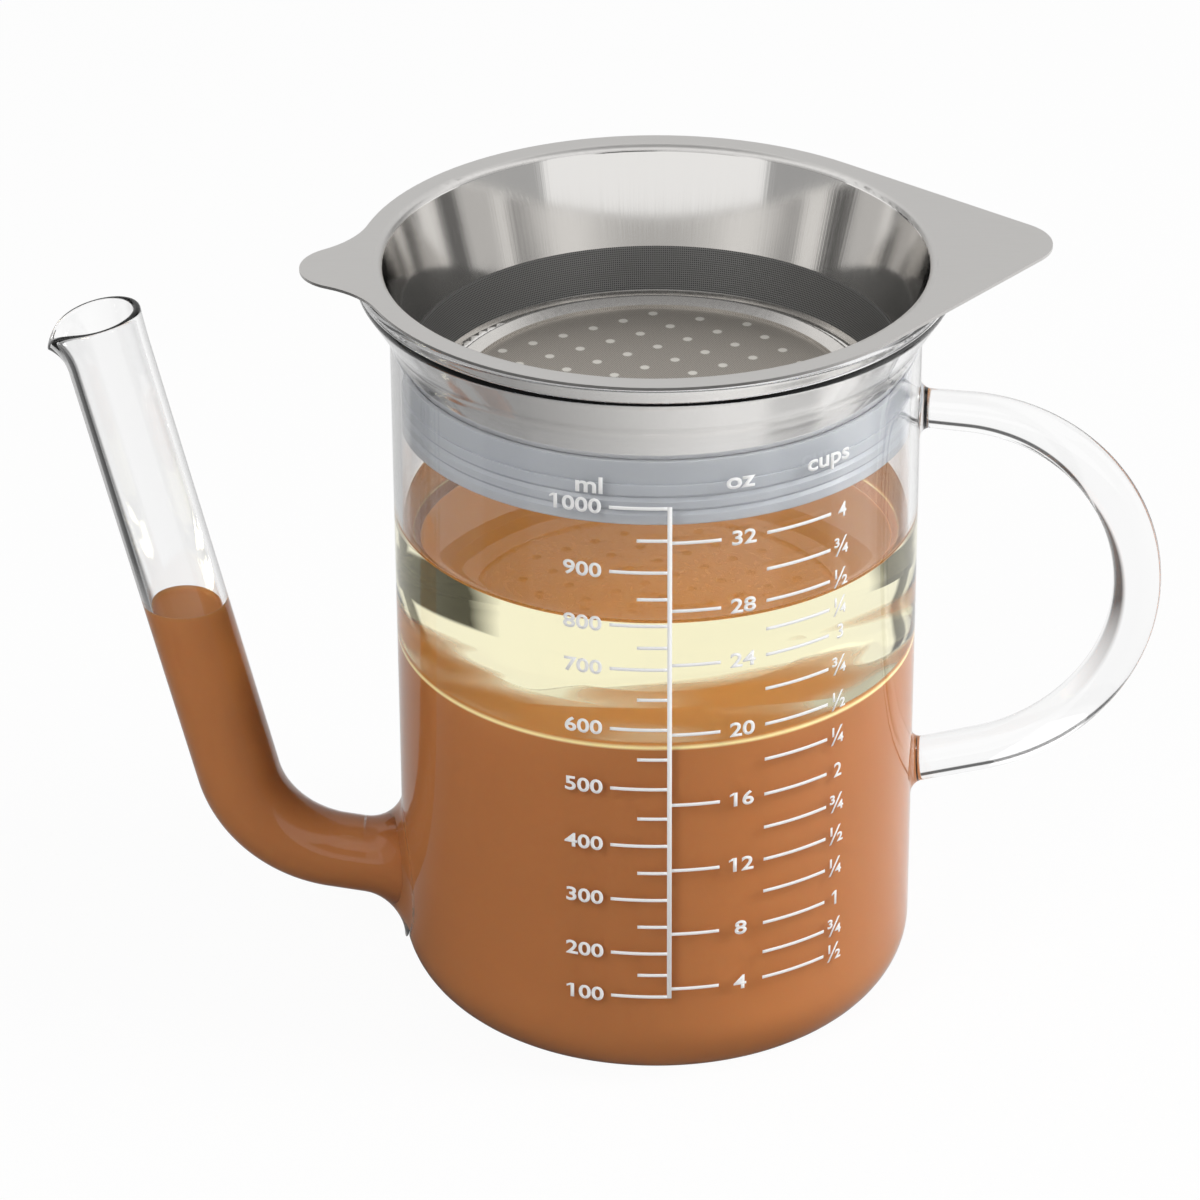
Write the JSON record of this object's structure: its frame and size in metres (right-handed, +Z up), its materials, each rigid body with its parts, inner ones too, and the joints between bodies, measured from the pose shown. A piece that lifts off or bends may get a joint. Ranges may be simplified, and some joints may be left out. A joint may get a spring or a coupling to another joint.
{
  "type": "gravy fat separator",
  "caption": "Glass fat separator jug with a low bent pouring spout, a glass rod handle and a lift-out steel strainer in a silicone seal.",
  "frame": {"origin": "on the jug's axis, at the plane it stands on", "axes": "+Z up, +X to the handle, -X to the spout, the printed scale faces -Y"},
  "size_m": [0.2224, 0.118, 0.1609],
  "materials": {
    "glass": "clear, fire-polished",
    "gravy": "opaque liquid",
    "fat": "clear yellow liquid",
    "polished_steel": "polished stainless steel",
    "plate_steel": "satin",
    "steel_mesh": "fine woven mesh",
    "silicone": "translucent, satin",
    "scale_print": "white enamel print"
  },
  "bodies": {
    "jug": {"jug_body": "glass", "spout_tube": "glass", "handle_rod": "glass", "gravy": "gravy", "fat_layer": "fat"},
    "seal": {"seal_ring": "silicone"},
    "strainer": {"strainer_bowl": "polished_steel", "perforated_plate": "plate_steel", "mesh_clamp_ring": "polished_steel", "bottom_mesh": "steel_mesh", "side_mesh": "steel_mesh"}
  },
  "joints": [
    {"name": "strainer_lift", "type": "slide", "parent": "jug", "child": "seal", "axis": [0, 0, 1], "range_m": [0, 0.06]},
    {"name": "strainer_turn", "type": "hinge", "parent": "seal", "child": "strainer", "pos_m": [0, 0, 0.1609], "axis": [0, 0, 1], "continuous": true}
  ]
}
